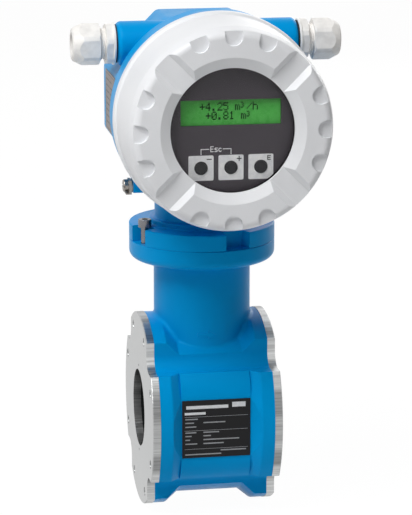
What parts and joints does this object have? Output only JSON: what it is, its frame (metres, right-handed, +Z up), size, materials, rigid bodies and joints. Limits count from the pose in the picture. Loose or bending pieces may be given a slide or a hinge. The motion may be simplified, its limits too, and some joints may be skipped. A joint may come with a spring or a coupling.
{
  "type": "electromagnetic flow meter",
  "caption": "Compact wafer flow meter: a blue sensor body between steel disks, a round neck, and a head with screwed window cover, display, keys and cable glands.",
  "frame": {"origin": "middle of the bore, half-way between the two sealing faces", "axes": "+X along the bore with the flow, +Z up through the neck, -Y out of the display"},
  "size_m": [0.1692, 0.176, 0.328],
  "materials": {
    "blue_paint": "smooth blue powder coat on cast aluminium",
    "white_paint": "smooth white powder coat on cast aluminium",
    "stainless": "ground and brushed stainless steel",
    "liner": "dark polyamide",
    "rubber": "black rubber",
    "iron": "soft iron",
    "copper": "enamelled copper winding",
    "label_black": "black printed plate",
    "label_metal": "plain metal plate",
    "window": "clear toughened glass",
    "spring_steel": "thin steel ring",
    "dark_plastic": "anthracite moulded plastic",
    "display": "green liquid crystal display",
    "board": "green circuit board",
    "spacer": "turned brass",
    "key_black": "black key cap",
    "gland_plastic": "light grey polyamide"
  },
  "bodies": {
    "sensor": {"sensor_housing": "blue_paint", "measuring_tube": "liner", "tube_seal_left": "rubber", "tube_seal_right": "rubber", "ground_disk_left": "stainless", "ground_disk_right": "stainless", "disk_screws_left": "stainless", "disk_screws_right": "stainless", "pole_core_upper": "iron", "pole_core_lower": "iron", "coil_upper": "copper", "coil_lower": "copper", "flux_return": "iron", "electrode_front": "stainless", "electrode_rear": "stainless", "electrode_nuts": "stainless", "sensor_nameplate": "label_black", "neck_seal": "rubber", "securing_screws": "stainless"},
    "head": {"amplifier_board": "board", "board_spacers": "spacer", "display_board": "board", "display_frame": "dark_plastic", "electronics_carrier": "dark_plastic", "gland_body_left": "gland_plastic", "gland_body_right": "gland_plastic", "gland_seal_left": "rubber", "gland_seal_right": "rubber", "ground_clamp": "stainless", "ground_screw": "stainless", "ground_washer": "stainless", "housing_nameplate": "label_metal", "lcd_glass": "display", "power_board": "board", "terminal_block": "dark_plastic", "terminal_screws": "stainless", "transmitter_housing": "blue_paint"},
    "cover_carrier": {"cover_seal": "rubber"},
    "cover": {"cover_ring": "white_paint", "window_glass": "window", "window_gasket": "rubber", "window_retainer": "spring_steel"},
    "key_minus": {"button_minus": "key_black"},
    "key_plus": {"button_plus": "key_black"},
    "key_enter": {"button_enter": "key_black"},
    "bush_left": {"gland_bush_left": "rubber"},
    "nut_left": {"gland_nut_left": "gland_plastic"},
    "bush_right": {"gland_bush_right": "rubber"},
    "nut_right": {"gland_nut_right": "gland_plastic"}
  },
  "joints": [
    {"name": "bayonet_turn", "type": "hinge", "parent": "sensor", "child": "head", "pos_m": [0, 0, 0.1125], "axis": [0, 0, 1], "range_deg": [-6, 6]},
    {"name": "cover_advance", "type": "slide", "parent": "head", "child": "cover_carrier", "axis": [0, -1, 0], "range_m": [0, 0.01]},
    {"name": "cover_unscrew", "type": "hinge", "parent": "cover_carrier", "child": "cover", "pos_m": [0, -0.06, 0.2005], "axis": [0, -1, 0], "range_deg": [0, 1800]},
    {"name": "press_minus", "type": "slide", "parent": "head", "child": "key_minus", "axis": [0, 1, 0], "range_m": [0, 0.0006], "stiffness_N_per_m": 600, "springref_m": -0.0005},
    {"name": "press_plus", "type": "slide", "parent": "head", "child": "key_plus", "axis": [0, 1, 0], "range_m": [0, 0.0006], "stiffness_N_per_m": 600, "springref_m": -0.0005},
    {"name": "press_enter", "type": "slide", "parent": "head", "child": "key_enter", "axis": [0, 1, 0], "range_m": [0, 0.0006], "stiffness_N_per_m": 600, "springref_m": -0.0005},
    {"name": "bush_advance_left", "type": "slide", "parent": "head", "child": "bush_left", "axis": [-1, 0, 0], "range_m": [0, 0.003]},
    {"name": "nut_unscrew_left", "type": "hinge", "parent": "bush_left", "child": "nut_left", "pos_m": [-0.077, -0.016, 0.2407], "axis": [-1, 0, 0], "range_deg": [0, 720]},
    {"name": "bush_advance_right", "type": "slide", "parent": "head", "child": "bush_right", "axis": [1, 0, 0], "range_m": [0, 0.003]},
    {"name": "nut_unscrew_right", "type": "hinge", "parent": "bush_right", "child": "nut_right", "pos_m": [0.077, -0.016, 0.2407], "axis": [1, 0, 0], "range_deg": [0, 720]}
  ],
  "couplings": [
    {"joint": "cover_advance", "follows": "cover_unscrew", "m_per_rad": 0.00031831},
    {"joint": "bush_advance_left", "follows": "nut_unscrew_left", "m_per_rad": 0.00023873},
    {"joint": "bush_advance_right", "follows": "nut_unscrew_right", "m_per_rad": 0.00023873}
  ]
}
